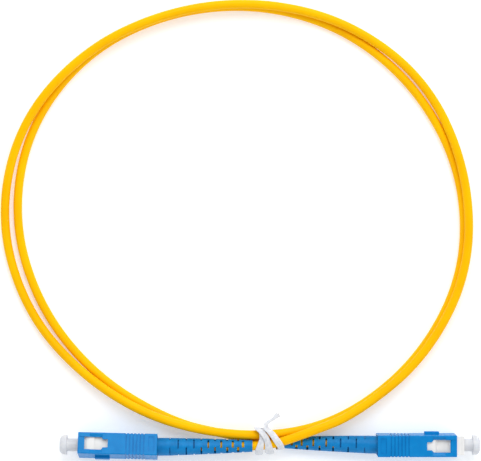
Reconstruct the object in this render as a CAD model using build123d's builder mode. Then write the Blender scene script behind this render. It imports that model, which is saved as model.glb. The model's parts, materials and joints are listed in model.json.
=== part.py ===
from build123d import *
import os
from math import cos, radians, sin, tan

# SC to SC simplex fibre optic patch cord, in millimetres.
# The cord lies on the surface z = 0 in two loose turns, tied where the turns close.
# +X runs along both plugs, +Y towards the middle of the turns, +Z up.

os.makedirs("parts", exist_ok=True)

# how far a cutting shape reaches past the surface that it cuts
CUT_MARGIN = 1.0

# --- where the two plugs lie: the middle of each plug frame's front face ---
# heading is the way the plug points, roll turns it about its own length,
# grip_front and cap_shift say how far the sliding grip and the dust cap have moved,
# boot_shift how far the boot sits behind its usual place, and boot_roll how far it is
# turned from the plug.
ENDS = {
    "a": dict(front=(-65.2, 0.2, 5.3), heading=178.6, roll=16.5,
              grip_front=0.2, cap_shift=1.1, boot_shift=0.0, boot_roll=10),
    "b": dict(front=(66.45, 0.1, 4.5), heading=0.0, roll=0,
              grip_front=-2.7, cap_shift=0.0, boot_shift=-2.8, boot_roll=-13),
}

# --- grip, the outer sliding housing ---
GRIP_LENGTH = 27.0
GRIP_ACROSS = 7.4
GRIP_TALL = 9.0
GRIP_INNER_ACROSS = 6.5
GRIP_INNER_TALL = 7.8
GRIP_CORNER = 0.3
GRIP_LEAD = 0.15
GRIP_TRAVEL = 2.9
WINDOW_START = 2.2
WINDOW_WIDE_END = 7.9
WINDOW_END = 10.2
WINDOW_WIDE = 4.3
WINDOW_NARROW = 2.8
WINDOW_SLOPE = 0.7
BEVEL_START = 4.0
BEVEL_END = 8.3
BEVEL_WIDE = 6.3
BEVEL_DEPTH = 0.5
CHANNEL_DEPTH = 0.25
LIP_LENGTH = 1.0
LIP_DEPTH = 0.12
RIDGE_START = 16.2
RIDGE_PITCH = 1.2
RIDGE_COUNT = 6
RIDGE_GROOVE = 0.45
RIDGE_DEPTH = 0.22
PANEL_MIDDLE = 25.0
PANEL_LENGTH = 2.0
PANEL_ACROSS = 5.3
PANEL_DEPTH = 0.2
PANEL_CORNER = 0.3
KEY_START = 5.75
KEY_LENGTH = 5.1
KEY_WIDE = 2.2
KEY_HIGH = 1.0
KEY_CORNER = 0.3
KEY_CHAMFER = 0.15

# --- plug frame, the inner housing that the adapter latches on ---
FRAME_LENGTH = 20.5
FRAME_ACROSS = 6.3
FRAME_NOSE = 3.0
FRAME_CATCH = 3.55
FRAME_BODY = 3.8
CATCH_FOOT = 1.2
CATCH_TOP = 3.0
CATCH_END = 5.35
LATCH_END = 9.35
LATCH_RAMP_END = 10.1
FRAME_LEAD = 0.3
FRONT_BORE = 5.0
FRONT_BORE_DEPTH = 5.0
SHOULDER_BORE = 3.2
SHOULDER_BACK = 5.6
CAVITY_BORE = 4.8
TAB_FRONT = 14.5
TAB_LENGTH = 1.0
TAB_ACROSS = 2.8
TAB_TALL = 4.05
TAB_PLAY = 0.02

# --- ferrule, its flange, and the spring behind it ---
FERRULE_DIAMETER = 2.5
FERRULE_TIP = 1.6
FERRULE_LENGTH = 10.5
FERRULE_CHAMFER = 0.35
FERRULE_BORE = 0.14
FLANGE_FRONT = 5.62
FLANGE_LENGTH = 1.8
FLANGE_DIAMETER = 4.4
FLANGE_NOTCH = 0.8
HUB_DIAMETER = 3.3
HUB_END = 11.0
SEAT_CLEARANCE = 0.01
SPRING_WIRE = 0.4
SPRING_OUTER = 4.3
SPRING_TURNS = 6
SPRING_GAP = 0.02

# --- back post, crimp sleeve, liner and fibre tail ---
POST_FRONT = 16.0
POST_DIAMETER = 4.7
POST_COLLAR = 6.0
POST_COLLAR_LENGTH = 0.8
POST_TAIL = 3.8
POST_END = 28.3
POST_BORE = 2.2
KNURL_START = 22.6
KNURL_PITCH = 0.9
KNURL_COUNT = 6
KNURL_DEPTH = 0.08
SLEEVE_FRONT = 21.4
SLEEVE_OUTER = 4.8
SLEEVE_INNER = 4.4
SLEEVE_NECK_OUTER = 4.0
SLEEVE_NECK_INNER = 3.4
SLEEVE_SHOULDER = 28.5
SLEEVE_SHOULDER_END = 29.2
SLEEVE_END = 31.6
LINER_FRONT = 12.6
LINER_END = 29.0
LINER_OUTER = 2.1
LINER_INNER = 1.1
BUFFER_DIAMETER = 0.9
BUFFER_BORE = 1.0
GLASS_DIAMETER = 0.125
TAIL_END = 28.7

# --- boot ---
BOOT_PIVOT = 26.0
BOOT_FRONT = 22.3
BOOT_TIP = 59.3
BOOT_HEAD_END = 30.0
BOOT_MIDDLE = 46.0
BOOT_HEAD_RADIUS = 3.05
BOOT_MIDDLE_RADIUS = 2.57
BOOT_TIP_RADIUS = 1.97
BOOT_HEAD_BORE = 5.4
BOOT_HEAD_BORE_END = 29.6
BOOT_STEP_BORE = 4.6
BOOT_STEP_END = 32.0
BOOT_BORE = 3.1
SLOT_COUNT = 12
SLOT_FIRST = 56.1
SLOT_PITCH = 1.68
SLOT_PITCH_GROWTH = 0.118
SLOT_WIDTH = 0.85
SLOT_WIDTH_LOSS = 0.045
SLOT_SPAN = 0.54
SLOTS_ROUND = 3
SLOT_FLOOR = 0.9
SLOT_BLIND_FROM = 8
SLOT_BLIND_FLOOR = 1.7
SLOT_LAST_FLOOR = 2.45

# --- dust cap ---
CAP_HEAD_DIAMETER = 6.8
CAP_HEAD_BACK = 3.05
CAP_TIP = 5.5
CAP_RIM = 0.85
CAP_DOME = 5.1
CAP_DOME_RADIUS = 2.75
CAP_FLAT = 1.6
CAP_NECK_DIAMETER = 4.4
CAP_NECK_END = 4.0
CAP_BORE = 2.6
CAP_BORE_TOP = 2.5

# --- cord ---
JACKET_DIAMETER = 3.0
JACKET_BORE = 2.0
YARN_DIAMETER = 1.9
YARN_BORE = 1.0
JACKET_START = 4.2
YARN_FLARE_FRONT = 22.0
YARN_FLARE_OUTER = 4.3
YARN_FLARE_INNER = 3.9
YARN_FLARE_END = 28.4
YARN_NECK_OUTER = 3.1
YARN_NECK_INNER = 2.6

# The route between the boots, one point at each bend. The first turn leaves plug a,
# lies outside and on top of the second where they overlap, and comes back to the tie.
# The second turn lies on the surface and ends under the first, in plug b's boot.
ROUTE = [
    (0.0, -0.1, 5.6),
    (12.8, 4.4, 7.2),
    (29.2, 10.5, 5.4),
    (53.4, 30.0, 4.7),
    (68.6, 59.9, 4.7),
    (67.8, 93.8, 4.5),
    (54.3, 124.8, 2.0),
    (27.7, 144.9, 3.9),
    (-3.5, 152.3, 4.8),
    (-34.8, 148.9, 4.8),
    (-63.8, 135.2, 4.9),
    (-85.9, 110.1, 4.2),
    (-93.0, 77.0, 1.7),
    (-83.5, 45.0, 1.5),
    (-61.7, 21.3, 3.7),
    (-34.3, 6.6, 5.2),
    (0.0, 2.3, 5.0),
    (27.5, 9.4, 1.5),
    (52.6, 30.3, 1.5),
    (67.5, 60.2, 1.5),
    (66.3, 93.6, 1.5),
    (51.1, 122.5, 1.5),
    (26.6, 142.9, 1.5),
    (-3.6, 151.7, 1.5),
    (-34.9, 148.8, 1.5),
    (-63.4, 134.7, 1.5),
    (-83.1, 108.9, 1.5),
    (-88.3, 77.0, 1.5),
    (-79.1, 46.9, 1.5),
    (-59.9, 23.2, 1.5),
    (-34.0, 7.7, 1.5),
    (-13.7, 3.2, 1.8),
    (-0.9, 0.9, 2.4),
]

# --- twist tie: three wraps round the crossing cords, a knot on top and one free tail ---
TIE_THICK = 0.35
TIE_CLEARANCE = 0.3
TIE_WIDE = 1.6
TIE_WRAPS = (-3.3, -0.4, 2.6)
TIE_REACH = 15.0
KNOT_START = (-4.2, 4.9, 6.85)
KNOT_LENGTH = 7.6
KNOT_DIAMETER = 1.5
TAIL_START = (-1.6, 5.3, 7.0)
TAIL_TIP = (2.5, 10.0, 5.9)
TAIL_WIDE = 2.2
TAIL_RIB = 0.85
WIRE_DIAMETER = 0.45
WIRE_BORE = 0.5
PATH_STEPS = 8000


def plug_plane(end):
    """Plane on a plug's front face: Z out of the plug, Y up, X towards the key."""
    heading = radians(end["heading"])
    out = Vector(cos(heading), sin(heading), 0)
    up = Vector(0, 0, 1)
    roll = radians(end["roll"])
    across = up.cross(out) * cos(roll) + up * sin(roll)
    return Plane(origin=end["front"], x_dir=across, z_dir=out)


def tall_plane(plane):
    """Plane through the plug's length, seen from above: X along the plug, Y across."""
    return Plane(origin=plane.origin, x_dir=plane.z_dir, z_dir=plane.y_dir)


def side_plane(plane):
    """Plane through the plug's length, seen from the key side: X along the plug."""
    return Plane(origin=plane.origin, x_dir=plane.z_dir, z_dir=plane.x_dir)


def length_axis(plane):
    return Axis(plane.origin, plane.z_dir)


def turned(plane, outline):
    """A solid of revolution about the plug's length; outline is (along, radius)."""
    with BuildPart() as body:
        with BuildSketch(side_plane(plane)):
            with BuildLine():
                Polyline(*outline, close=True)
            make_face()
        revolve(axis=length_axis(plane))
    return body.part


def finish(part, name):
    part.label = name
    export_step(part, f"parts/{name}.step")
    print(f"{name}: {part.volume:.2f} mm3")


def grip(plane):
    along = length_axis(plane)
    with BuildPart() as body:
        with BuildSketch(plane):
            RectangleRounded(GRIP_ACROSS, GRIP_TALL, GRIP_CORNER)
        extrude(amount=-GRIP_LENGTH)
        ends = body.faces().sort_by(along)
        chamfer(ends[0].edges() + ends[-1].edges(), GRIP_LEAD)
        # the sleeve is open from end to end
        with BuildSketch(plane):
            Rectangle(GRIP_INNER_ACROSS, GRIP_INNER_TALL)
        extrude(amount=-GRIP_LENGTH, mode=Mode.SUBTRACT)
        for side in (1, -1):
            face = side * GRIP_TALL / 2
            # the long sides of each latch window are bevelled
            with BuildSketch(plane.offset(-BEVEL_START)):
                with BuildLine():
                    Polyline(
                        (-BEVEL_WIDE / 2, face),
                        (-BEVEL_WIDE / 2, face + side * CUT_MARGIN),
                        (BEVEL_WIDE / 2, face + side * CUT_MARGIN),
                        (BEVEL_WIDE / 2, face),
                        (WINDOW_WIDE / 2, face - side * BEVEL_DEPTH),
                        (-WINDOW_WIDE / 2, face - side * BEVEL_DEPTH),
                        close=True,
                    )
                make_face()
            extrude(amount=BEVEL_START - BEVEL_END, mode=Mode.SUBTRACT)
            # a channel leads to it from the front, between two shallow steps
            with BuildSketch(plane):
                with Locations((0, face)):
                    Rectangle(WINDOW_WIDE, 2 * CHANNEL_DEPTH)
            extrude(amount=-WINDOW_START, mode=Mode.SUBTRACT)
            with BuildSketch(plane):
                with Locations((0, face)):
                    Rectangle(GRIP_ACROSS, 2 * LIP_DEPTH)
            extrude(amount=-LIP_LENGTH, mode=Mode.SUBTRACT)
        # the latch windows, through both wide faces
        with BuildSketch(tall_plane(plane)):
            with BuildLine():
                Polyline(
                    (-WINDOW_START, WINDOW_WIDE / 2),
                    (-WINDOW_WIDE_END, WINDOW_WIDE / 2),
                    (-WINDOW_WIDE_END - WINDOW_SLOPE, WINDOW_NARROW / 2),
                    (-WINDOW_END, WINDOW_NARROW / 2),
                    (-WINDOW_END, -WINDOW_NARROW / 2),
                    (-WINDOW_WIDE_END - WINDOW_SLOPE, -WINDOW_NARROW / 2),
                    (-WINDOW_WIDE_END, -WINDOW_WIDE / 2),
                    (-WINDOW_START, -WINDOW_WIDE / 2),
                    close=True,
                )
            make_face()
        extrude(amount=GRIP_TALL, both=True, mode=Mode.SUBTRACT)
        # pockets in which the frame's stop tabs travel
        pocket_front = TAB_FRONT + ENDS["a"]["grip_front"] - GRIP_TRAVEL - TAB_PLAY
        pocket_length = TAB_LENGTH + GRIP_TRAVEL + 2 * TAB_PLAY
        with BuildSketch(tall_plane(plane)):
            with Locations((-pocket_front - pocket_length / 2, 0)):
                Rectangle(pocket_length, TAB_ACROSS + 4 * TAB_PLAY)
        extrude(amount=TAB_TALL + 2 * TAB_PLAY, both=True, mode=Mode.SUBTRACT)
        # finger ridges: grooves that run all the way round
        for ridge in range(RIDGE_COUNT):
            with BuildSketch(plane.offset(-RIDGE_START - ridge * RIDGE_PITCH)):
                Rectangle(GRIP_ACROSS + CUT_MARGIN, GRIP_TALL + CUT_MARGIN)
                Rectangle(GRIP_ACROSS - 2 * RIDGE_DEPTH, GRIP_TALL - 2 * RIDGE_DEPTH, mode=Mode.SUBTRACT)
            extrude(amount=-RIDGE_GROOVE, mode=Mode.SUBTRACT)
        # recessed panel near the back of each wide face
        for level in (GRIP_TALL / 2 - PANEL_DEPTH, -GRIP_TALL / 2 - PANEL_DEPTH):
            with BuildSketch(tall_plane(plane).offset(level)):
                with Locations((-PANEL_MIDDLE, 0)):
                    RectangleRounded(PANEL_LENGTH, PANEL_ACROSS, PANEL_CORNER)
            extrude(amount=2 * PANEL_DEPTH, mode=Mode.SUBTRACT)
        # the key that sets which way up the plug goes in
        with BuildSketch(side_plane(plane).offset(GRIP_ACROSS / 2 - RIDGE_DEPTH)):
            with Locations((-KEY_START - KEY_LENGTH / 2, 0)):
                RectangleRounded(KEY_LENGTH, KEY_WIDE, KEY_CORNER)
        extrude(amount=KEY_HIGH + RIDGE_DEPTH)
        key_top = body.faces().sort_by(Axis(plane.origin, plane.x_dir))[-1]
        chamfer(key_top.edges(), KEY_CHAMFER)
    return body.part


def plug_frame(plane):
    half = [
        (0, FRAME_NOSE),
        (-CATCH_FOOT, FRAME_NOSE),
        (-CATCH_TOP, FRAME_CATCH),
        (-CATCH_END, FRAME_CATCH),
        (-CATCH_END, FRAME_NOSE),
        (-LATCH_END, FRAME_NOSE),
        (-LATCH_RAMP_END, FRAME_BODY),
        (-TAB_FRONT, FRAME_BODY),
        (-TAB_FRONT, TAB_TALL),
        (-TAB_FRONT - TAB_LENGTH, TAB_TALL),
        (-TAB_FRONT - TAB_LENGTH, FRAME_BODY),
        (-FRAME_LENGTH, FRAME_BODY),
    ]
    other = [(along, -tall) for along, tall in reversed(half)]
    with BuildPart() as body:
        with BuildSketch(side_plane(plane)):
            with BuildLine():
                Polyline(*half, *other, close=True)
            make_face()
        extrude(amount=FRAME_ACROSS / 2, both=True)
        # the stop tabs are narrower than the frame
        for side in (1, -1):
            with BuildSketch(plane.offset(-TAB_FRONT)):
                with Locations((side * (TAB_ACROSS + FRAME_ACROSS + CUT_MARGIN) / 4, 0)):
                    Rectangle((FRAME_ACROSS - TAB_ACROSS + CUT_MARGIN) / 2, 2 * TAB_TALL + CUT_MARGIN)
                Rectangle(2 * FRAME_ACROSS, 2 * FRAME_BODY, mode=Mode.SUBTRACT)
            extrude(amount=-TAB_LENGTH, mode=Mode.SUBTRACT)
        nose = body.faces().sort_by(length_axis(plane))[-1]
        chamfer(nose.edges(), FRAME_LEAD)
        with BuildSketch(plane):
            Circle(FRONT_BORE / 2)
        extrude(amount=-FRONT_BORE_DEPTH, mode=Mode.SUBTRACT)
        with BuildSketch(plane):
            Circle(SHOULDER_BORE / 2)
        extrude(amount=-SHOULDER_BACK, mode=Mode.SUBTRACT)
        with BuildSketch(plane.offset(-SHOULDER_BACK)):
            Circle(CAVITY_BORE / 2)
        extrude(amount=SHOULDER_BACK - FRAME_LENGTH, mode=Mode.SUBTRACT)
    return body.part


def ferrule(plane):
    with BuildPart() as body:
        with BuildSketch(plane.offset(FERRULE_TIP)):
            Circle(FERRULE_DIAMETER / 2)
        extrude(amount=-FERRULE_LENGTH)
        tip = body.faces().sort_by(length_axis(plane))[-1]
        chamfer(tip.edges(), FERRULE_CHAMFER)
        with BuildSketch(plane.offset(FERRULE_TIP)):
            Circle(FERRULE_BORE / 2)
        extrude(amount=-FERRULE_LENGTH, mode=Mode.SUBTRACT)
    return body.part


def ferrule_flange(plane):
    seat_end = FERRULE_LENGTH - FERRULE_TIP + SEAT_CLEARANCE
    with BuildPart() as body:
        with BuildSketch(plane.offset(-FLANGE_FRONT)):
            Circle(FLANGE_DIAMETER / 2)
        extrude(amount=-FLANGE_LENGTH)
        with BuildSketch(plane.offset(-FLANGE_FRONT - FLANGE_LENGTH)):
            Circle(HUB_DIAMETER / 2)
        extrude(amount=FLANGE_FRONT + FLANGE_LENGTH - HUB_END)
        # four notches index the fibre in the frame
        with BuildSketch(plane.offset(-FLANGE_FRONT)):
            with PolarLocations(FLANGE_DIAMETER / 2, 4):
                Rectangle(FLANGE_NOTCH, FLANGE_NOTCH)
        extrude(amount=-FLANGE_LENGTH, mode=Mode.SUBTRACT)
        with BuildSketch(plane):
            Circle(FERRULE_DIAMETER / 2 + SEAT_CLEARANCE)
        extrude(amount=-seat_end, mode=Mode.SUBTRACT)
        with BuildSketch(plane):
            Circle(BUFFER_BORE / 2)
        extrude(amount=-HUB_END, mode=Mode.SUBTRACT)
    return body.part


def ferrule_spring(plane):
    front = -FLANGE_FRONT - FLANGE_LENGTH - SPRING_WIRE / 2 - SPRING_GAP
    back = -POST_FRONT + SPRING_WIRE / 2 + SPRING_GAP
    coil_radius = (SPRING_OUTER - SPRING_WIRE) / 2
    start = plane.offset(back)
    with BuildPart() as body:
        with BuildLine():
            coil = Helix(
                pitch=(front - back) / SPRING_TURNS,
                height=front - back,
                radius=coil_radius,
                center=start.origin,
                direction=plane.z_dir,
            )
        with BuildSketch(Plane(origin=coil @ 0, z_dir=coil % 0)):
            Circle(SPRING_WIRE / 2)
        sweep(path=coil, is_frenet=True)
    return body.part


def back_post(plane):
    collar = -FRAME_LENGTH - POST_COLLAR_LENGTH
    with BuildPart() as body:
        with BuildSketch(plane.offset(-POST_FRONT)):
            Circle(POST_DIAMETER / 2)
        extrude(amount=POST_FRONT - FRAME_LENGTH)
        with BuildSketch(plane.offset(-FRAME_LENGTH)):
            Circle(POST_COLLAR / 2)
        extrude(amount=-POST_COLLAR_LENGTH)
        with BuildSketch(plane.offset(collar)):
            Circle(POST_TAIL / 2)
        extrude(amount=-POST_END - collar)
        for ring in range(KNURL_COUNT):
            with BuildSketch(plane.offset(-KNURL_START - ring * KNURL_PITCH)):
                Circle(POST_TAIL / 2 + CUT_MARGIN)
                Circle(POST_TAIL / 2 - KNURL_DEPTH, mode=Mode.SUBTRACT)
            extrude(amount=-KNURL_PITCH / 2, mode=Mode.SUBTRACT)
        with BuildSketch(plane):
            Circle(POST_BORE / 2)
        extrude(amount=-POST_END, mode=Mode.SUBTRACT)
    return body.part


def crimp_sleeve(plane):
    return turned(plane, [
        (-SLEEVE_FRONT, SLEEVE_INNER / 2),
        (-SLEEVE_FRONT, SLEEVE_OUTER / 2),
        (-SLEEVE_SHOULDER, SLEEVE_OUTER / 2),
        (-SLEEVE_SHOULDER_END, SLEEVE_NECK_OUTER / 2),
        (-SLEEVE_END, SLEEVE_NECK_OUTER / 2),
        (-SLEEVE_END, SLEEVE_NECK_INNER / 2),
        (-SLEEVE_SHOULDER_END, SLEEVE_NECK_INNER / 2),
        (-SLEEVE_SHOULDER, SLEEVE_INNER / 2),
    ])


def liner_tube(plane):
    return turned(plane, [
        (-LINER_FRONT, LINER_INNER / 2),
        (-LINER_FRONT, LINER_OUTER / 2),
        (-LINER_END, LINER_OUTER / 2),
        (-LINER_END, LINER_INNER / 2),
    ])


def fibre_tail(plane):
    """The coated fibre behind the ferrule, stripped to bare glass inside it."""
    strip = FERRULE_LENGTH - FERRULE_TIP + 2 * SEAT_CLEARANCE
    return turned(plane, [
        (FERRULE_TIP, 0),
        (FERRULE_TIP, GLASS_DIAMETER / 2),
        (-strip, GLASS_DIAMETER / 2),
        (-strip, BUFFER_DIAMETER / 2),
        (-TAIL_END, BUFFER_DIAMETER / 2),
        (-TAIL_END, 0),
    ])


def yarn_flare(plane):
    """The yarn spread over the back post, and gathered again where the jacket starts."""
    gathered = BOOT_PIVOT + JACKET_START
    return turned(plane, [
        (-YARN_FLARE_FRONT, YARN_FLARE_INNER / 2),
        (-YARN_FLARE_FRONT, YARN_FLARE_OUTER / 2),
        (-YARN_FLARE_END, YARN_FLARE_OUTER / 2),
        (-SLEEVE_SHOULDER_END, YARN_NECK_OUTER / 2),
        (-gathered, YARN_DIAMETER / 2),
        (-gathered, YARN_BORE / 2),
        (-SLEEVE_SHOULDER_END, YARN_NECK_INNER / 2),
        (-YARN_FLARE_END, YARN_FLARE_INNER / 2),
    ])


def boot_axis_plane(plane, aim, roll):
    """The boot leans a little from the plug's line to point along the cord, and is turned."""
    pivot = plane.offset(-BOOT_PIVOT).origin
    along = pivot - Vector(*aim)
    across = plane.x_dir.rotate(Axis(pivot, along), roll)
    return Plane(origin=pivot, x_dir=across, z_dir=along)


def boot(plane, shift):
    def back(distance):
        return BOOT_PIVOT - distance + shift

    with BuildPart() as body:
        with BuildSketch(side_plane(plane)):
            with BuildLine():
                Polyline(
                    (back(BOOT_TIP), BOOT_TIP_RADIUS),
                    (back(BOOT_TIP), BOOT_BORE / 2),
                    (back(BOOT_STEP_END), BOOT_BORE / 2),
                    (back(BOOT_STEP_END), BOOT_STEP_BORE / 2),
                    (back(BOOT_HEAD_BORE_END), BOOT_STEP_BORE / 2),
                    (back(BOOT_HEAD_BORE_END), BOOT_HEAD_BORE / 2),
                    (back(BOOT_FRONT), BOOT_HEAD_BORE / 2),
                    (back(BOOT_FRONT), BOOT_HEAD_RADIUS),
                    (back(BOOT_HEAD_END), BOOT_HEAD_RADIUS),
                )
                ThreePointArc(
                    (back(BOOT_HEAD_END), BOOT_HEAD_RADIUS),
                    (back(BOOT_MIDDLE), BOOT_MIDDLE_RADIUS),
                    (back(BOOT_TIP), BOOT_TIP_RADIUS),
                )
            make_face()
        revolve(axis=length_axis(plane))
        # rings of three slots, turned by half their spacing from one ring to the next,
        # closer together towards the tip
        place = SLOT_FIRST
        for slot in range(SLOT_COUNT):
            width = SLOT_WIDTH - slot * SLOT_WIDTH_LOSS
            reach = BOOT_TIP_RADIUS + (BOOT_HEAD_RADIUS - BOOT_TIP_RADIUS) * (slot + 2) / SLOT_COUNT
            span = 2 * SLOT_SPAN * min(reach, BOOT_HEAD_RADIUS)
            floor = SLOT_FLOOR if slot < SLOT_BLIND_FROM else SLOT_BLIND_FLOOR
            if slot == SLOT_COUNT - 1:
                floor = SLOT_LAST_FLOOR
            depth = BOOT_HEAD_RADIUS + CUT_MARGIN - floor
            offset = floor + depth / 2
            with BuildSketch(plane.offset(back(place) + width / 2)):
                start = 90 + slot % 2 * 180 / SLOTS_ROUND
                with PolarLocations(offset, SLOTS_ROUND, start_angle=start):
                    Rectangle(depth, span)
            extrude(amount=-width, mode=Mode.SUBTRACT)
            place -= SLOT_PITCH + slot * SLOT_PITCH_GROWTH
    return body.part


def dust_cap(plane):
    rim = CAP_HEAD_DIAMETER / 2
    with BuildPart() as body:
        with BuildSketch(side_plane(plane)):
            with BuildLine():
                Polyline(
                    (CAP_TIP, CAP_FLAT),
                    (CAP_TIP, 0),
                    (CAP_BORE_TOP, 0),
                    (CAP_BORE_TOP, CAP_BORE / 2),
                    (-CAP_NECK_END, CAP_BORE / 2),
                    (-CAP_NECK_END, CAP_NECK_DIAMETER / 2),
                    (CAP_HEAD_BACK, CAP_NECK_DIAMETER / 2),
                    (CAP_HEAD_BACK, rim),
                    (CAP_HEAD_BACK + CAP_RIM, rim),
                )
                ThreePointArc(
                    (CAP_HEAD_BACK + CAP_RIM, rim),
                    (CAP_DOME, CAP_DOME_RADIUS),
                    (CAP_TIP, CAP_FLAT),
                )
            make_face()
        revolve(axis=length_axis(plane))
    return body.part


def cord_centres(path, x):
    """Where the cord's centreline passes the plane at x, near the tie, as (y, z)."""
    places = path.positions([step / PATH_STEPS for step in range(PATH_STEPS + 1)])
    centres = []
    for here, after in zip(places, places[1:]):
        if here.Y < TIE_REACH and (here.X - x) * (after.X - x) <= 0:
            centres.append((here.Y, here.Z))
    return centres


def twist_tie(path):
    start = Vector(*TAIL_START)
    tail = Vector(*TAIL_TIP) - start
    with BuildPart() as body:
        for x in TIE_WRAPS:
            edge = Plane(origin=(x - TIE_WIDE / 2, 0, 0), x_dir=(0, 1, 0), z_dir=(1, 0, 0))
            centres = cord_centres(path, x)
            inside = JACKET_DIAMETER / 2 + TIE_CLEARANCE
            with BuildSketch(edge):
                with Locations(*centres):
                    Circle(inside + TIE_THICK)
                make_hull()
            extrude(amount=TIE_WIDE)
            with BuildSketch(edge):
                with Locations(*centres):
                    Circle(inside)
                make_hull()
            extrude(amount=TIE_WIDE, mode=Mode.SUBTRACT)
        with BuildSketch(Plane(origin=KNOT_START, z_dir=(1, 0, 0))):
            Circle(KNOT_DIAMETER / 2)
        extrude(amount=KNOT_LENGTH)
        root = Plane(origin=start, z_dir=tail)
        with BuildSketch(root):
            Rectangle(TAIL_WIDE, TIE_THICK)
            Circle(TAIL_RIB / 2)
        extrude(amount=tail.length)
        with BuildSketch(root):
            Circle(WIRE_BORE / 2)
        extrude(amount=tail.length, mode=Mode.SUBTRACT)
    return body.part


def twist_tie_wire():
    start = Vector(*TAIL_START)
    tail = Vector(*TAIL_TIP) - start
    with BuildPart() as body:
        with BuildSketch(Plane(origin=start, z_dir=tail)):
            Circle(WIRE_DIAMETER / 2)
        extrude(amount=tail.length)
    return body.part


def arc_radii(points):
    """The largest arc that each bend has room for: 0.45 of its shorter run."""
    radii = []
    for before, here, after in zip(points, points[1:], points[2:]):
        run_in = here - before
        run_out = after - here
        turn = radians(run_in.get_angle(run_out))
        radii.append(0.45 * min(run_in.length, run_out.length) / tan(turn / 2))
    return radii


def along_route(points, outer, inner, name):
    """A round tube, or a solid core where inner is 0, along the route."""
    with BuildPart() as body:
        with BuildLine():
            path = FilletPolyline(*points, radius=arc_radii(points))
        with BuildSketch(Plane(origin=path @ 0, z_dir=path % 0)) as section:
            Circle(outer / 2)
            if inner:
                Circle(inner / 2, mode=Mode.SUBTRACT)
        sweep(path=path)
    expected = section.sketch.area * path.length
    print(f"{name}: {path.length:.1f} mm long, volume {body.part.volume:.1f} of {expected:.1f} mm3")
    return body.part


# ---------------------------------------------------------------- the two plugs
jacket_ends = {}
flares = {}
for side, end in ENDS.items():
    front = plug_plane(end)
    leaning = boot_axis_plane(front, ROUTE[0] if side == "a" else ROUTE[-1], end["boot_roll"])
    jacket_ends[side] = leaning.offset(-JACKET_START).origin
    flares[side] = yarn_flare(front)
    finish(grip(front.offset(end["grip_front"])), f"grip_{side}")
    finish(plug_frame(front), f"plug_frame_{side}")
    finish(ferrule(front), f"ferrule_{side}")
    finish(ferrule_flange(front), f"ferrule_flange_{side}")
    finish(ferrule_spring(front), f"ferrule_spring_{side}")
    finish(back_post(front), f"back_post_{side}")
    finish(crimp_sleeve(front), f"crimp_sleeve_{side}")
    finish(liner_tube(front), f"liner_tube_{side}")
    finish(fibre_tail(front), f"fibre_tail_{side}")
    finish(boot(leaning, end["boot_shift"]), f"boot_{side}")
    finish(dust_cap(front.offset(end["cap_shift"])), f"dust_cap_{side}")

# ---------------------------------------------------------------- the cord
route = [jacket_ends["a"]] + [Vector(*point) for point in ROUTE] + [jacket_ends["b"]]
print("jacket ends:", [tuple(round(v, 2) for v in point) for point in (route[0], route[-1])])
print("radii:", [round(radius, 1) for radius in arc_radii(route)])

finish(along_route(route, JACKET_DIAMETER, JACKET_BORE, "cord_jacket"), "cord_jacket")
with BuildPart() as yarn:
    add(along_route(route, YARN_DIAMETER, YARN_BORE, "aramid_yarn"))
    add(flares["a"])
    add(flares["b"])
finish(yarn.part, "aramid_yarn")
finish(along_route(route, BUFFER_DIAMETER, 0, "optical_fibre"), "optical_fibre")

# ---------------------------------------------------------------- the tie
with BuildLine() as centreline:
    FilletPolyline(*route, radius=arc_radii(route))
finish(twist_tie(centreline.wire()), "twist_tie")
finish(twist_tie_wire(), "twist_tie_wire")
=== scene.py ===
"""Patch cord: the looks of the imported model. Lengths in mm are turned into metres where they are used."""
import json
import math

import bpy
from mathutils import Matrix, Vector, noise


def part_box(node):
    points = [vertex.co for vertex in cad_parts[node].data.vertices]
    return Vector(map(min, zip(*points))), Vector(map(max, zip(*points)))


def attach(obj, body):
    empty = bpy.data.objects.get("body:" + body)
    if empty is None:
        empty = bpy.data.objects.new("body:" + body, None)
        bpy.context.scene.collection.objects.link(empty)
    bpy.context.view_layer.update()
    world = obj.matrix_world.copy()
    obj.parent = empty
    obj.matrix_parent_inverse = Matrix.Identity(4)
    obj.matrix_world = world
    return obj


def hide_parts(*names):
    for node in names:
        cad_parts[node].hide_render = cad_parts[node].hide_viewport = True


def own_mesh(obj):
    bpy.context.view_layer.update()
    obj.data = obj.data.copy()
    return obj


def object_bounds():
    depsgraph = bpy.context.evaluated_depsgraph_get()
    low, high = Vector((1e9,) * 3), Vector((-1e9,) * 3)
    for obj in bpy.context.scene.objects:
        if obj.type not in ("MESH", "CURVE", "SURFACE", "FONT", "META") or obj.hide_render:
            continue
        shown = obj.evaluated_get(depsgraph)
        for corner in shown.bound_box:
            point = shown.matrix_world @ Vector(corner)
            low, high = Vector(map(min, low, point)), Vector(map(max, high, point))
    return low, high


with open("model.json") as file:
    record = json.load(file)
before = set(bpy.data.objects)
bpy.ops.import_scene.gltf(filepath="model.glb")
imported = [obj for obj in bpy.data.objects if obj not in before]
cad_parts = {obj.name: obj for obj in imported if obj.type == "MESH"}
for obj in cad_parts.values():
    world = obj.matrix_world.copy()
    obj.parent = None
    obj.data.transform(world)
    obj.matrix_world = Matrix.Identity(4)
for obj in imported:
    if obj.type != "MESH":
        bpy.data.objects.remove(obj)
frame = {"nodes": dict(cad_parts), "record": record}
cad_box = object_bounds()
nodes = frame["nodes"]
scene = bpy.context.scene
MM = 0.001

# --- camera: straight above the middle of the part's box, but for a small shift ---
CAMERA_HEIGHT = 0.7
VIEW_WIDTH = 0.16586
SENSOR = 36.0
CAMERA_SHIFT = Vector((0.355, -0.175, 0.0)) * MM

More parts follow.
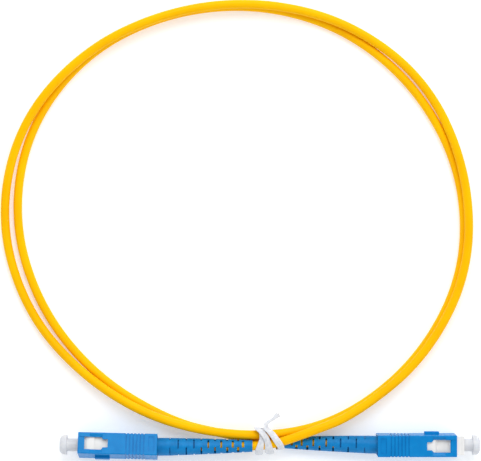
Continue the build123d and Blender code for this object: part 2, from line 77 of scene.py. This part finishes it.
# --- light: places are from the middle of the part's box, in metres ---
SKY_STRENGTH = 0.85
KEY_POWER = 6.0
FILL_POWER = 1.0
TABLE_GLOW = 0.27
TABLE_REACH = 2.5
KEY_PLACE = Vector((0.12, 0.66, 0.76))
KEY_SIZE = 0.8
FILL_PLACE = Vector((0.55, -0.35, 0.75))
FILL_SIZE = 0.6

# --- materials ---
SUBSURFACE_DEPTH = 0.5 * MM

# --- cord ---
JACKET_DIAMETER = 3.0 * MM
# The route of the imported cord, with one more point in each boot, on the boot's own line.
ROUTE = [
    (-35.01, -0.40, 5.33),
    (-13.6, -0.22, 5.45),
    (0.0, -0.1, 5.6),
    (12.8, 4.4, 7.2),
    (29.2, 10.5, 5.4),
    (53.4, 30.0, 4.7),
    (68.6, 59.9, 4.7),
    (67.8, 93.8, 4.5),
    (54.3, 124.8, 2.0),
    (27.7, 144.9, 3.9),
    (-3.5, 152.3, 4.8),
    (-34.8, 148.9, 4.8),
    (-63.8, 135.2, 4.9),
    (-85.9, 110.1, 4.2),
    (-93.0, 77.0, 1.7),
    (-83.5, 45.0, 1.5),
    (-61.7, 21.3, 3.7),
    (-34.3, 6.6, 5.2),
    (0.0, 2.3, 5.0),
    (27.5, 9.4, 1.5),
    (52.6, 30.3, 1.5),
    (67.5, 60.2, 1.5),
    (66.3, 93.6, 1.5),
    (51.1, 122.5, 1.5),
    (26.6, 142.9, 1.5),
    (-3.6, 151.7, 1.5),
    (-34.9, 148.8, 1.5),
    (-63.4, 134.7, 1.5),
    (-83.1, 108.9, 1.5),
    (-88.3, 77.0, 1.5),
    (-79.1, 46.9, 1.5),
    (-59.9, 23.2, 1.5),
    (-34.0, 7.7, 1.5),
    (-13.7, 3.2, 1.8),
    (-0.9, 0.9, 2.4),
    (12.1, 0.65, 3.07),
    (36.26, 0.18, 4.29),
]

# --- twist tie: one strip that goes three times round the cords, with a free tail ---
# Stations along the strip: x, y, z, half its width, and how far it is turned about its
# own line from lying flat on the cords, in degrees.
BUNDLE_MIDDLE = (1.3, 4.1)
TIE_THICK = 0.34
TIE_RIB = 0.16
TIE_CRUMPLE = 0.07
TIE_STEPS = 10
TIE_STATIONS = [
    (3.0, 10.8, 6.2, 1.15, -30),
    (2.3, 10.2, 6.3, 0.85, -36),
    (1.1, 9.2, 6.6, 0.55, -42),
    (-0.2, 8.4, 7.0, 0.5, -42),
    (-1.3, 7.4, 7.4, 0.75, -20),
    (-1.2, 6.1, 7.7, 1.0, 0),
    (0.1, 4.9, 7.8, 1.1, 0),
    (1.3, 3.5, 8.0, 1.12, 0),
    (2.5, 1.8, 8.15, 1.15, 0),
    (3.4, 0.5, 7.8, 1.15, 0),
    (3.85, -0.5, 7.0, 1.15, 0),
    (3.75, -1.1, 5.5, 1.1, 0),
    (3.2, -1.4, 3.3, 1.0, 0),
    (2.9, -0.8, 1.5, 1.0, 0),
    (2.2, 0.9, 0.7, 1.1, 0),
    (0.4, 3.3, 0.9, 1.15, 0),
    (-1.8, 5.0, 2.4, 1.2, 0),
    (-3.5, 5.9, 4.4, 1.2, 0),
    (-4.4, 6.1, 6.2, 1.0, 0),
    (-3.7, 5.6, 7.5, 0.9, 0),
    (-2.5, 4.6, 8.1, 1.0, 0),
    (-1.3, 2.9, 8.0, 1.0, 0),
    (-0.7, 1.0, 7.5, 1.1, 0),
    (-0.3, -0.9, 6.9, 1.4, 0),
    (0.0, -2.3, 5.6, 1.65, 0),
    (0.1, -2.9, 4.1, 1.2, 0),
    (-0.1, -2.1, 2.3, 1.4, 0),
    (-0.4, -0.7, 0.95, 1.3, 0),
    (-1.1, 1.6, 0.6, 1.2, 0),
    (-2.0, 4.0, 1.6, 1.2, 0),
    (-2.6, 5.3, 3.7, 1.2, 0),
    (-2.8, 5.2, 5.7, 1.1, 0),
    (-2.8, 4.2, 7.1, 0.8, 0),
    (-2.8, 2.4, 7.5, 0.8, 0),
    (-3.1, 0.5, 7.4, 1.1, 0),
    (-3.5, -1.2, 6.8, 1.35, 0),
    (-3.7, -2.6, 5.5, 1.5, 0),
    (-3.7, -3.2, 4.0, 1.1, 0),
    (-3.6, -2.3, 2.3, 1.3, 0),
    (-3.4, -0.7, 0.95, 1.3, 0),
    (-3.0, 1.6, 0.6, 1.2, 0),
    (-2.4, 4.0, 1.7, 1.1, 0),
    (-1.6, 5.4, 3.7, 1.0, 0),
    (-1.2, 5.6, 5.6, 1.0, 0),
    (-0.9, 5.0, 6.7, 1.0, 0),
]
TAIL_CORE_RADIUS = 0.2
TAIL_CORE_BARE = 0.35
TAIL_STATIONS = 7
TAIL_STEPS = 4

# --- ferrule springs ---
SPRING_WIRE = 0.4 * MM
SPRING_OUTER = 4.3 * MM
SPRING_TURNS = 6
SPRING_CLOSED = 0.55
SPRING_STEPS = 32
SPRING_SIDES = 12


def add_camera():
    lo, hi = cad_box
    middle = (lo + hi) / 2 + CAMERA_SHIFT
    data = bpy.data.cameras.new("camera")
    data.sensor_width = SENSOR
    data.lens = SENSOR * CAMERA_HEIGHT / VIEW_WIDTH
    camera = bpy.data.objects.new("camera", data)
    camera.location = (middle.x, middle.y, CAMERA_HEIGHT)
    scene.collection.objects.link(camera)
    scene.camera = camera


def add_object(name, data, material=None):
    obj = bpy.data.objects.new(name, data)
    scene.collection.objects.link(obj)
    if material:
        data.materials.append(material)
    return obj


# --- materials ---
def new_material(name):
    material = bpy.data.materials.new(name)
    material.use_nodes = True
    shader = material.node_tree.nodes["Principled BSDF"]
    return material, material.node_tree, shader


def add_node(tree, kind, **settings):
    node = tree.nodes.new(kind)
    for key, value in settings.items():
        if key in node.inputs:
            node.inputs[key].default_value = value
        else:
            setattr(node, key, value)
    return node


def object_place(tree, stretch=(1, 1, 1)):
    """The place on the object in metres, stretched for a grain that runs one way."""
    place = tree.nodes.new("ShaderNodeTexCoord")
    mapping = tree.nodes.new("ShaderNodeMapping")
    mapping.inputs["Scale"].default_value = stretch
    tree.links.new(place.outputs["Object"], mapping.inputs["Vector"])
    return mapping.outputs["Vector"]


def noise_at(tree, place, scale, detail=4.0, roughness=0.55):
    """A noise of the given scale, in features to the metre."""
    texture = add_node(tree, "ShaderNodeTexNoise", Scale=scale, Detail=detail, Roughness=roughness)
    tree.links.new(place, texture.inputs["Vector"])
    return texture.outputs["Fac"]


def colour_between(tree, factor, stops):
    """A colour ramp through stops, each a position and a linear colour."""
    ramp = tree.nodes.new("ShaderNodeValToRGB")
    elements = ramp.color_ramp.elements
    while len(elements) < len(stops):
        elements.new(0.5)
    for element, (position, colour) in zip(elements, stops):
        element.position = position
        element.color = (*colour, 1)
    tree.links.new(factor, ramp.inputs["Fac"])
    return ramp.outputs["Color"]


def number_between(tree, factor, low, high):
    """The factor's middle range spread from low to high."""
    spread = tree.nodes.new("ShaderNodeMapRange")
    for socket, value in (("From Min", 0.3), ("From Max", 0.7), ("To Min", low), ("To Max", high)):
        spread.inputs[socket].default_value = value
    tree.links.new(factor, spread.inputs["Value"])
    return spread.outputs["Result"]


def add_bump(tree, shader, layers):
    """Stacks bumps; each layer is a height, a strength and a depth in mm."""
    below = None
    for height, strength, depth in layers:
        bump = add_node(tree, "ShaderNodeBump", Strength=strength, Distance=depth * MM)
        tree.links.new(height, bump.inputs["Height"])
        if below:
            tree.links.new(below, bump.inputs["Normal"])
        below = bump.outputs["Normal"]
    tree.links.new(below, shader.inputs["Normal"])


def shade(tree, colour, amount, factor):
    """The colour multiplied darker where factor is low."""
    mix = add_node(tree, "ShaderNodeMix", data_type="RGBA", blend_type="MULTIPLY")
    mix.inputs[0].default_value = amount
    tree.links.new(colour, mix.inputs[6])
    tree.links.new(factor, mix.inputs[7])
    return mix.outputs[2]


def moulded_plastic(name, stops, rough, grain=9000.0, specular=0.5, subsurface=0.0):
    """Injection moulded plastic: faint flow mottling, spark-eroded grain, uneven gloss."""
    material, tree, shader = new_material(name)
    place = object_place(tree)
    mottle = noise_at(tree, place, 260.0)
    patches = noise_at(tree, place, 900.0, detail=2.0)
    fine = noise_at(tree, place, grain, detail=2.0)
    tree.links.new(colour_between(tree, mottle, stops), shader.inputs["Base Color"])
    tree.links.new(number_between(tree, patches, rough - 0.05, rough + 0.07), shader.inputs["Roughness"])
    add_bump(tree, shader, [(mottle, 0.25, 0.06), (fine, 0.35, 0.01)])
    shader.inputs["Specular IOR Level"].default_value = specular
    shader.inputs["Subsurface Weight"].default_value = subsurface
    shader.inputs["Subsurface Radius"].default_value = (1.0, 1.0, 1.0)
    shader.inputs["Subsurface Scale"].default_value = SUBSURFACE_DEPTH
    return material


def soft_rubber():
    """The boot's elastomer: a little darker and duller than the grip, with handling marks."""
    material, tree, shader = new_material("blue_boot")
    place = object_place(tree)
    mottle = noise_at(tree, place, 420.0)
    rubbed = noise_at(tree, object_place(tree, (0.25, 1, 1)), 1500.0, detail=5.0)
    fine = noise_at(tree, place, 12000.0, detail=2.0)
    base = colour_between(tree, mottle, [
        (0.30, (0.001, 0.170, 0.455)),
        (0.52, (0.002, 0.200, 0.525)),
        (0.75, (0.005, 0.230, 0.580)),
    ])
    wear = colour_between(tree, rubbed, [(0.25, (0.80, 0.84, 0.88)), (0.55, (1, 1, 1))])
    tree.links.new(shade(tree, base, 0.6, wear), shader.inputs["Base Color"])
    tree.links.new(number_between(tree, rubbed, 0.38, 0.55), shader.inputs["Roughness"])
    add_bump(tree, shader, [(rubbed, 0.3, 0.04), (fine, 0.4, 0.012)])
    shader.inputs["Specular IOR Level"].default_value = 0.18
    return material


def jacket_pvc():
    """Extruded PVC: drawn lines along the cord, fine pebble, slightly uneven colour."""
    material, tree, shader = new_material("yellow_jacket")
    texture_place = tree.nodes.new("ShaderNodeTexCoord")
    along = tree.nodes.new("ShaderNodeMapping")
    along.inputs["Scale"].default_value = (18.0, 40.0, 1.0)
    tree.links.new(texture_place.outputs["UV"], along.inputs["Vector"])
    drawn = noise_at(tree, along.outputs["Vector"], 1.0, detail=5.0)
    place = object_place(tree)
    patches = noise_at(tree, place, 70.0)
    pebble = noise_at(tree, place, 7000.0, detail=2.0)
    base = colour_between(tree, patches, [
        (0.25, (0.940, 0.465, 0.000)),
        (0.50, (0.970, 0.510, 0.000)),
        (0.75, (1.000, 0.555, 0.000)),
    ])
    lines = colour_between(tree, drawn, [(0.30, (0.90, 0.88, 0.80)), (0.60, (1, 1, 1))])
    tree.links.new(shade(tree, base, 0.5, lines), shader.inputs["Base Color"])
    tree.links.new(number_between(tree, patches, 0.36, 0.46), shader.inputs["Roughness"])
    add_bump(tree, shader, [(drawn, 0.25, 0.03), (pebble, 0.3, 0.01)])
    shader.inputs["Specular IOR Level"].default_value = 0.06
    return material


def tie_film():
    """Plastic-coated tie: satin white with crumpled relief along the strip; the same noise paints the
    colour darker and bluer in the hollows, a painted shade.
    """
    material, tree, shader = new_material("white_tie")
    place = object_place(tree)
    crease_relief_and_shade = noise_at(tree, place, 1100.0, detail=6.0, roughness=0.6)
    fine = noise_at(tree, place, 9000.0, detail=2.0)
    # painted shade: the low parts of the crease relief are coloured a darker bluish grey, the high parts
    # white
    base = colour_between(tree, crease_relief_and_shade, [
        (0.30, (0.59, 0.63, 0.70)),
        (0.55, (0.71, 0.73, 0.77)),
        (0.75, (0.82, 0.82, 0.81)),
    ])
    tree.links.new(base, shader.inputs["Base Color"])
    tree.links.new(number_between(tree, crease_relief_and_shade, 0.34, 0.5), shader.inputs["Roughness"])
    add_bump(tree, shader, [(crease_relief_and_shade, 0.5, 0.08), (fine, 0.25, 0.01)])
    return material


def cap_plastic():
    """Soft translucent polyethylene, cloudy, with faint flow streaks along the cap."""
    material, tree, shader = new_material("clear_cap")
    place = object_place(tree, (0.4, 1, 1))
    cloud = noise_at(tree, place, 700.0, detail=5.0)
    fine = noise_at(tree, object_place(tree), 8000.0, detail=2.0)
    base = colour_between(tree, cloud, [
        (0.30, (0.72, 0.75, 0.82)),
        (0.55, (0.81, 0.83, 0.87)),
        (0.75, (0.90, 0.90, 0.91)),
    ])
    tree.links.new(base, shader.inputs["Base Color"])
    tree.links.new(number_between(tree, cloud, 0.38, 0.52), shader.inputs["Roughness"])
    add_bump(tree, shader, [(cloud, 0.3, 0.06), (fine, 0.2, 0.01)])
    shader.inputs["Transmission Weight"].default_value = 0.25
    shader.inputs["IOR"].default_value = 1.5
    return material


def metal(name, dark, light, rough, turned=(1, 12, 12)):
    """Worked metal: fine tool lines, smudged gloss."""
    material, tree, shader = new_material(name)
    lines = noise_at(tree, object_place(tree, turned), 2500.0, detail=3.0)
    smudges = noise_at(tree, object_place(tree), 600.0)
    base = colour_between(tree, smudges, [(0.3, dark), (0.7, light)])
    tree.links.new(base, shader.inputs["Base Color"])
    tree.links.new(number_between(tree, smudges, rough - 0.06, rough + 0.1), shader.inputs["Roughness"])
    add_bump(tree, shader, [(lines, 0.3, 0.01)])
    shader.inputs["Metallic"].default_value = 1.0
    return material


def yarn():
    """Aramid strands lying along the cord."""
    material, tree, shader = new_material("aramid")
    strands = noise_at(tree, object_place(tree), 6000.0, detail=6.0, roughness=0.7)
    base = colour_between(tree, strands, [(0.35, (0.55, 0.38, 0.06)), (0.65, (0.86, 0.70, 0.25))])
    tree.links.new(base, shader.inputs["Base Color"])
    tree.links.new(number_between(tree, strands, 0.5, 0.7), shader.inputs["Roughness"])
    add_bump(tree, shader, [(strands, 0.8, 0.06)])
    return material


def make_materials():
    grip = [
        (0.28, (0.001, 0.190, 0.525)),
        (0.52, (0.002, 0.213, 0.565)),
        (0.76, (0.004, 0.240, 0.605)),
    ]
    white = [(0.3, (0.77, 0.765, 0.755)), (0.7, (0.83, 0.825, 0.815))]
    zirconia = [(0.3, (0.86, 0.86, 0.83)), (0.7, (0.93, 0.93, 0.91))]
    wax = [(0.3, (0.80, 0.80, 0.77)), (0.7, (0.88, 0.88, 0.86))]
    buffer = [(0.3, (0.84, 0.82, 0.70)), (0.7, (0.92, 0.90, 0.80))]
    return {
        "blue_grip": moulded_plastic("blue_grip", grip, 0.33, specular=0.2),
        "blue_boot": soft_rubber(),
        "white_frame": moulded_plastic("white_frame", white, 0.4, subsurface=0.05),
        "ceramic": moulded_plastic("ceramic", zirconia, 0.14, grain=16000.0, specular=0.7),
        "steel": metal("steel", (0.50, 0.50, 0.50), (0.66, 0.66, 0.65), 0.28),
        "spring_steel": metal("spring_steel", (0.38, 0.38, 0.39), (0.52, 0.52, 0.52), 0.25),
        "crimp_metal": metal("crimp_metal", (0.62, 0.62, 0.64), (0.76, 0.76, 0.77), 0.34),
        "liner": moulded_plastic("liner", wax, 0.45, subsurface=0.1),
        "buffer": moulded_plastic("buffer", buffer, 0.3),
        "clear_cap": cap_plastic(),
        "yellow_jacket": jacket_pvc(),
        "aramid": yarn(),
        "white_tie": tie_film(),
    }


def dress_cad_nodes(materials):
    """Each CAD node takes the material of its slot in the record."""
    for part in frame["record"]["subparts"]:
        node = nodes[part["node"]]
        for slot in node.material_slots:
            slot.material = materials[part["material_slot"]]
        if not node.material_slots:
            node.data.materials.append(materials[part["material_slot"]])


# --- cord ---
def add_cord(material):
    curve = bpy.data.curves.new("patch_cord", "CURVE")
    curve.dimensions = "3D"
    curve.resolution_u = 20
    curve.bevel_depth = JACKET_DIAMETER / 2
    curve.bevel_resolution = 6
    curve.use_fill_caps = True
    spline = curve.splines.new("NURBS")
    spline.points.add(len(ROUTE) - 1)
    for point, place in zip(spline.points, ROUTE):
        point.co = (*(Vector(place) * MM), 1)
    spline.order_u = 3
    spline.use_endpoint_u = True
    cord = add_object("patch_cord", curve, material)
    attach(cord, "root")
    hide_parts("cord_jacket")
    return cord


# --- twist tie ---
def smooth(stations, steps):
    """Points on a smooth line through the stations, every value of a station included."""
    ends = [stations[0]] + list(stations) + [stations[-1]]
    points = []
    for before, here, after, beyond in zip(ends, ends[1:], ends[2:], ends[3:]):
        for step in range(steps):
            t = step / steps
            points.append([
                0.5 * (2 * b + (c - a) * t + (2 * a - 5 * b + 4 * c - d) * t * t
                       + (3 * b - a - 3 * c + d) * t ** 3)
                for a, b, c, d in zip(before, here, after, beyond)
            ])
    points.append(list(stations[-1]))
    return points


def strip_outline():
    """The strip's section, from -1 to 1 across: two thin wings and the ridge over the wire."""
    top = []
    for across in (-1.0, -0.96, -0.8, -0.5, -0.3, -0.18, 0.0, 0.18, 0.3, 0.5, 0.8, 0.96, 1.0):
        wing = TIE_THICK / 2 * math.sqrt(max(0.0, 1 - across ** 8))
        top.append((across, wing + TIE_RIB * math.exp(-(across / 0.2) ** 2)))
    return top + [(across, -height) for across, height in reversed(top[1:-1])]


def tube_faces(rings, count):
    """Faces of a closed tube whose rings of count points follow each other."""
    faces = []
    for ring in range(rings - 1):
        for side in range(count):
            first = ring * count + side
            second = ring * count + (side + 1) % count
            faces.append((first, second, second + count, first + count))
    faces.append(tuple(reversed(range(count))))
    faces.append(tuple(range((rings - 1) * count, rings * count)))
    return faces


def add_tie(material):
    line = smooth(TIE_STATIONS, TIE_STEPS)
    outline = strip_outline()
    verts = []
    for index, (x, y, z, half, turn) in enumerate(line):
        here = Vector((x, y, z))
        ahead = Vector(line[min(index + 1, len(line) - 1)][:3])
        behind = Vector(line[max(index - 1, 0)][:3])
        along = (ahead - behind).normalized()
        outward = Vector((0, y - BUNDLE_MIDDLE[0], z - BUNDLE_MIDDLE[1]))
        outward = (outward - along * outward.dot(along)).normalized()
        outward.rotate(Matrix.Rotation(math.radians(turn), 3, along))
        across_way = along.cross(outward)
        for across, height in outline:
            place = here + across_way * across * half
            crumple = noise.noise(place * 0.9) + 0.5 * noise.noise(place * 2.3)
            verts.append((place + outward * (height + TIE_CRUMPLE * crumple)) * MM)
    faces = tube_faces(len(line), len(outline))
    mesh = bpy.data.meshes.new("tie_strip")
    mesh.from_pydata(verts, [], faces)
    mesh.shade_smooth()
    tie = add_object("tie_strip", mesh, material)
    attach(tie, "root")
    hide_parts("twist_tie")
    return tie


def add_tie_core(material):
    """The steel wire in the ridge of the free tail, bare at the cut end."""
    curve = bpy.data.curves.new("tie_core", "CURVE")
    curve.dimensions = "3D"
    curve.bevel_depth = TAIL_CORE_RADIUS * MM
    curve.bevel_resolution = 4
    curve.use_fill_caps = True
    line = smooth(TIE_STATIONS[:TAIL_STATIONS], TAIL_STEPS)
    start = Vector(line[0][:3])
    tip = start + (start - Vector(line[1][:3])).normalized() * TAIL_CORE_BARE
    places = [tip] + [Vector(point[:3]) for point in line]
    spline = curve.splines.new("POLY")
    spline.points.add(len(places) - 1)
    for point, place in zip(spline.points, places):
        point.co = (*(place * MM), 1)
    core = add_object("tie_core", curve, material)
    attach(core, "root")
    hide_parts("twist_tie_wire")
    return core


# --- ferrule springs ---
def spring_height(turn):
    """How high the wire is at a turn, from 0 to 1; the end turns lie closer together."""
    at = turn / SPRING_TURNS
    return at - SPRING_CLOSED * math.sin(2 * math.pi * at) / (2 * math.pi)


def add_spring(side, material):
    """A round wire wound from the back post to the ferrule's flange, along the ferrule's line of slide."""
    node = f"ferrule_spring_{side}"
    slide = f"ferrule_slide_{side}"
    joints = frame["record"]["behaviour"]["joints"]
    joint = next(joint for joint in joints if joint["name"] == slide)
    out = Vector(joint["axis"]).normalized()
    lo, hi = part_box(node)
    length = hi.x - lo.x - abs(out.y) * SPRING_OUTER
    seat = (lo + hi) / 2 - out * length / 2
    radius = (SPRING_OUTER - SPRING_WIRE) / 2
    first = out.cross(Vector((0, 0, 1))).normalized()
    second = out.cross(first)
    count = SPRING_TURNS * SPRING_STEPS
    verts = []
    for step in range(count + 1):
        turn = step / SPRING_STEPS
        angle = 2 * math.pi * turn
        outward = first * math.cos(angle) + second * math.sin(angle)
        rise = SPRING_WIRE / 2 + (length - SPRING_WIRE) * spring_height(turn)
        for side_step in range(SPRING_SIDES):
            around = 2 * math.pi * side_step / SPRING_SIDES
            wire = (outward * math.cos(around) + out * math.sin(around)) * SPRING_WIRE / 2
            verts.append(seat + out * rise + outward * radius + wire)
    faces = tube_faces(count + 1, SPRING_SIDES)
    mesh = bpy.data.meshes.new(f"spring_coil_{side}")
    mesh.from_pydata(verts, [], faces)
    mesh.shade_smooth()
    spring = add_object(f"spring_coil_{side}", mesh, material)
    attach(spring, "root")
    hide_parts(node)
    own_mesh(spring)


# --- surroundings ---
def add_floor():
    material, tree, shader = new_material("floor")
    speckle = noise_at(tree, object_place(tree), 40.0)
    base = colour_between(tree, speckle, [(0.3, (0.87, 0.885, 0.90)), (0.7, (0.89, 0.905, 0.92))])
    tree.links.new(base, shader.inputs["Base Color"])
    shader.inputs["Roughness"].default_value = 0.8
    shader.inputs["Specular IOR Level"].default_value = 0.1
    shader.inputs["Emission Color"].default_value = (0.90, 0.95, 1.0, 1.0)
    shader.inputs["Emission Strength"].default_value = TABLE_GLOW
    reach = TABLE_REACH
    mesh = bpy.data.meshes.new("floor")
    corners = [(-reach, -reach, 0), (reach, -reach, 0), (reach, reach, 0), (-reach, reach, 0)]
    mesh.from_pydata(corners, [], [(0, 1, 2, 3)])
    add_object("floor", mesh, material)


def add_light(name, offset, size, power):
    """A square soft box that faces the middle of the part's box."""
    data = bpy.data.lights.new(name, "AREA")
    data.size = size
    data.energy = power
    lamp = bpy.data.objects.new(name, data)
    lo, hi = cad_box
    lamp.location = (lo + hi) / 2 + offset
    lamp.rotation_mode = "QUATERNION"
    lamp.rotation_quaternion = (-offset).to_track_quat("-Z", "Y")
    scene.collection.objects.link(lamp)


def add_sky():
    """Even light from all round, dimmer straight above, where the camera hangs."""
    world = bpy.data.worlds.new("studio")
    world.use_nodes = True
    tree = world.node_tree
    direction = tree.nodes.new("ShaderNodeTexCoord")
    parts = tree.nodes.new("ShaderNodeSeparateXYZ")
    tree.links.new(direction.outputs["Generated"], parts.inputs["Vector"])
    sky = colour_between(tree, parts.outputs["Z"], [
        (0.84, (1.0, 1.0, 1.0)),
        (0.95, (0.12, 0.12, 0.12)),
    ])
    backdrop = tree.nodes["Background"]
    tree.links.new(sky, backdrop.inputs["Color"])
    backdrop.inputs["Strength"].default_value = SKY_STRENGTH
    scene.world = world


def add_surroundings():
    add_floor()
    add_light("key", KEY_PLACE, KEY_SIZE, KEY_POWER)
    add_light("fill", FILL_PLACE, FILL_SIZE, FILL_POWER)
    add_sky()
    scene.view_settings.view_transform = "Standard"


add_camera()
materials = make_materials()
cord = add_cord(materials["yellow_jacket"])
dress_cad_nodes(materials)
tie = add_tie(materials["white_tie"])
tie_core = add_tie_core(materials["steel"])
for side in "ab":
    add_spring(side, materials["spring_steel"])
add_surroundings()
